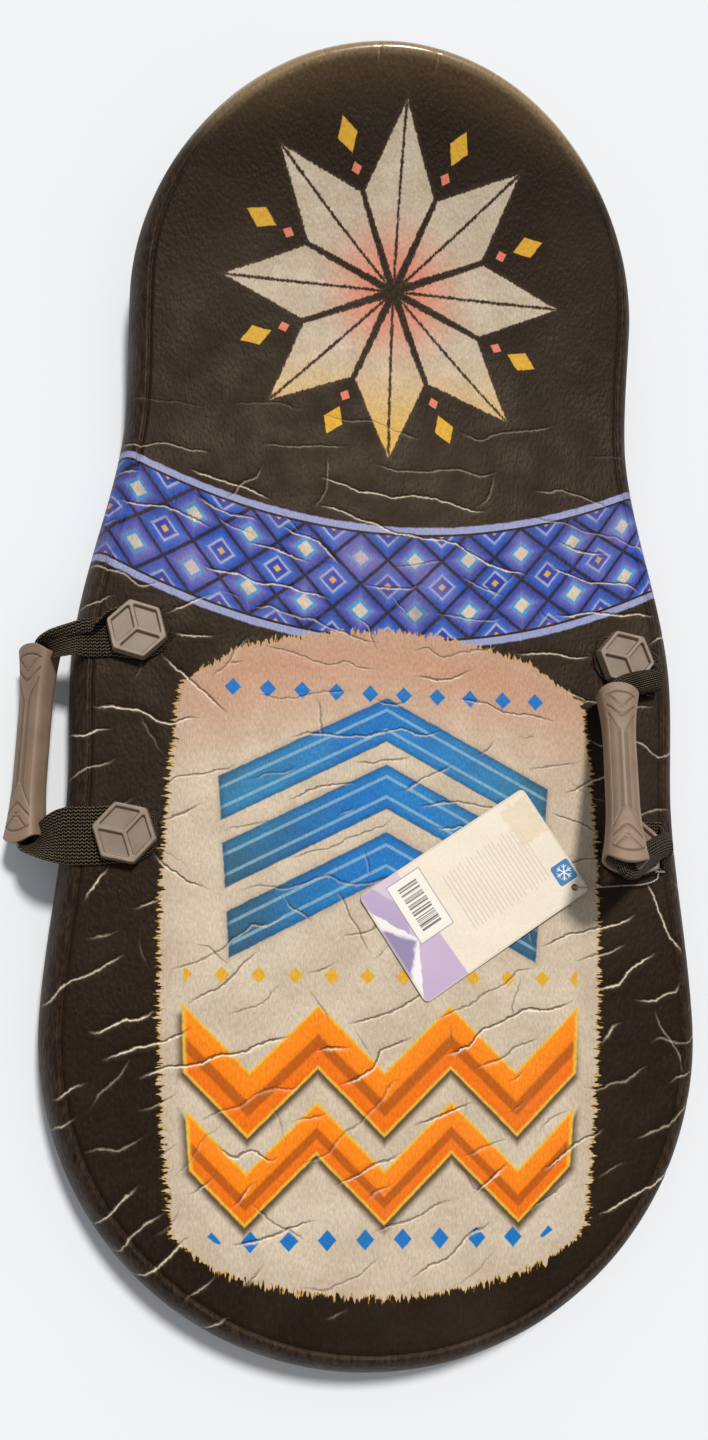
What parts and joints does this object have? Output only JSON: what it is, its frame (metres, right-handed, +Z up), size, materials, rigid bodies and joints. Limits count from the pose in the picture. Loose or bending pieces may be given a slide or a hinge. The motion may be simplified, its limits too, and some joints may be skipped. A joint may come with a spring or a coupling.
{
  "type": "foam snow sled",
  "caption": "Waisted lying-down foam snow sled with an upturned nose, a slick base and a swinging webbing handle with a moulded grip on each side.",
  "frame": {"origin": "on the flat underside, halfway along the length and on the centre line", "axes": "+Z up, +Y to the upturned nose, +X to the rider's right when lying face down and looking at the nose"},
  "size_m": [0.4822, 0.914, 0.1209],
  "materials": {
    "printed deck skin": "printed film, lightly pebbled and creased",
    "foam": "closed-cell foam",
    "slick sheet": "smooth",
    "cap plastic": "moulded satin",
    "plug plastic": "moulded satin",
    "webbing": "ribbed weave",
    "grip plastic": "moulded satin",
    "card": "printed card",
    "tie plastic": "translucent"
  },
  "bodies": {
    "sled": {"foam_core": "foam", "deck_skin": "printed deck skin", "slick_base": "slick sheet", "left_front_cap": "cap plastic", "left_front_plug": "plug plastic", "left_front_strap_tab": "webbing", "left_rear_cap": "cap plastic", "left_rear_plug": "plug plastic", "left_rear_strap_tab": "webbing", "right_front_cap": "cap plastic", "right_front_plug": "plug plastic", "right_front_strap_tab": "webbing", "right_rear_cap": "cap plastic", "right_rear_plug": "plug plastic", "right_rear_strap_tab": "webbing", "swing_tag": "card", "tag_tie": "tie plastic", "tag_tie_bar": "tie plastic"},
    "left_links": {"left_strap_link_front": "webbing", "left_strap_link_rear": "webbing"},
    "left_handle": {"left_strap_loop": "webbing", "left_grip": "grip plastic"},
    "right_links": {"right_strap_link_front": "webbing", "right_strap_link_rear": "webbing"},
    "right_handle": {"right_strap_loop": "webbing", "right_grip": "grip plastic"}
  },
  "joints": [
    {"name": "left_inner_fold", "type": "hinge", "parent": "sled", "child": "left_links", "pos_m": [-0.2015, -0.056, 0.0463], "axis": [0, 1, 0], "range_deg": [0, 98]},
    {"name": "left_outer_fold", "type": "hinge", "parent": "left_links", "child": "left_handle", "pos_m": [-0.21348, -0.056, 0.04567], "axis": [0, 1, 0], "range_deg": [0, 82]},
    {"name": "right_inner_fold", "type": "hinge", "parent": "sled", "child": "right_links", "pos_m": [0.2015, -0.056, 0.0463], "axis": [0, 1, 0], "range_deg": [0, 98]},
    {"name": "right_outer_fold", "type": "hinge", "parent": "right_links", "child": "right_handle", "pos_m": [0.20045, -0.056, 0.05825], "axis": [0, 1, 0], "range_deg": [0, 70]}
  ]
}
